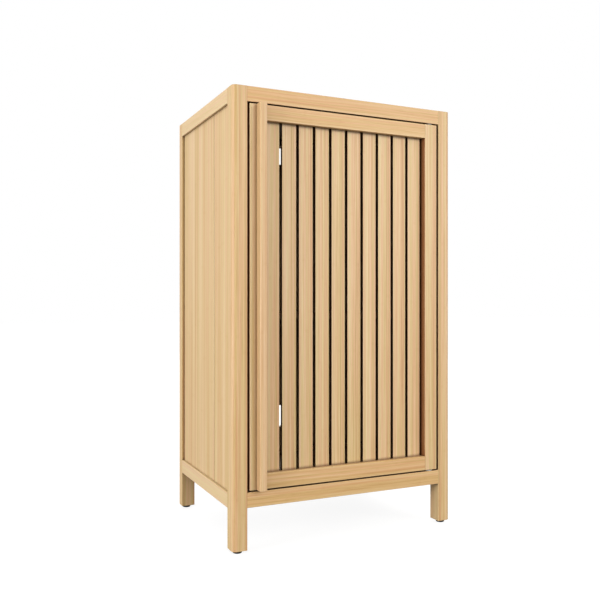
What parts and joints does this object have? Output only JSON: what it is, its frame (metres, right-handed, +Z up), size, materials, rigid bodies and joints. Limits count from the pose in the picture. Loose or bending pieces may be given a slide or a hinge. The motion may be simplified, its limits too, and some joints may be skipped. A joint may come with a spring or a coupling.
{
  "type": "floor cabinet",
  "caption": "Free-standing bamboo cabinet on short legs: post-and-rail carcass, inner shelf, and a slatted inset door on hidden pivots with a full-height pull bar.",
  "frame": {"origin": "on the floor at the centre of the footprint, which takes in the pull bar", "axes": "+Z up; -Y is the front, where the door is; +X is the viewer's right when facing the door"},
  "size_m": [0.42, 0.33, 0.75],
  "materials": {
    "bamboo_frame": "satin clear lacquer over edge-glued bamboo strips, grain along each piece",
    "bamboo_panel": "satin clear lacquer over edge-glued bamboo boards",
    "bamboo_slat": "satin clear lacquer over bamboo strips, grain along the slat",
    "black_plastic": "matte moulded plastic",
    "white_plastic": "matte moulded nylon",
    "zinc_steel": "zinc-plated steel",
    "ferrite": "sintered ferrite magnet, dull grey-black"
  },
  "bodies": {
    "carcass": {"back_panel": "bamboo_panel", "bottom_panel": "bamboo_panel", "catch_body": "white_plastic", "catch_magnet": "ferrite", "catch_screw_1": "zinc_steel", "catch_screw_2": "zinc_steel", "front_bottom_rail": "bamboo_frame", "front_left_foot_pad": "black_plastic", "front_left_post": "bamboo_frame", "front_right_foot_pad": "black_plastic", "front_right_post": "bamboo_frame", "front_top_rail": "bamboo_frame", "left_bottom_rail": "bamboo_frame", "left_front_shelf_pin": "zinc_steel", "left_rear_shelf_pin": "zinc_steel", "left_side_front_board": "bamboo_panel", "left_side_rear_board": "bamboo_panel", "left_top_rail": "bamboo_frame", "lower_pivot_bush": "white_plastic", "rear_bottom_rail": "bamboo_frame", "rear_left_foot_pad": "black_plastic", "rear_left_post": "bamboo_frame", "rear_right_foot_pad": "black_plastic", "rear_right_post": "bamboo_frame", "rear_top_rail": "bamboo_frame", "right_bottom_rail": "bamboo_frame", "right_front_shelf_pin": "zinc_steel", "right_rear_shelf_pin": "zinc_steel", "right_side_front_board": "bamboo_panel", "right_side_rear_board": "bamboo_panel", "right_top_rail": "bamboo_frame", "shelf": "bamboo_panel", "top_panel": "bamboo_panel", "upper_pivot_bush": "white_plastic"},
    "door": {"door_bottom_rail": "bamboo_frame", "door_left_stile": "bamboo_frame", "door_right_stile": "bamboo_frame", "door_slat_01": "bamboo_slat", "door_slat_02": "bamboo_slat", "door_slat_03": "bamboo_slat", "door_slat_04": "bamboo_slat", "door_slat_05": "bamboo_slat", "door_slat_06": "bamboo_slat", "door_slat_07": "bamboo_slat", "door_slat_08": "bamboo_slat", "door_slat_09": "bamboo_slat", "door_slat_10": "bamboo_slat", "door_top_rail": "bamboo_frame", "lower_pivot_pin": "zinc_steel", "pull_bar": "bamboo_frame", "pull_bar_screw_1": "zinc_steel", "pull_bar_screw_2": "zinc_steel", "pull_bar_screw_3": "zinc_steel", "strike_plate": "zinc_steel", "strike_screw_1": "zinc_steel", "strike_screw_2": "zinc_steel", "upper_pivot_pin": "zinc_steel"}
  },
  "joints": [
    {"name": "door_hinge", "type": "hinge", "parent": "carcass", "child": "door", "pos_m": [0.1685, -0.141, 0.4115], "axis": [0, 0, 1], "range_deg": [0, 110]}
  ]
}
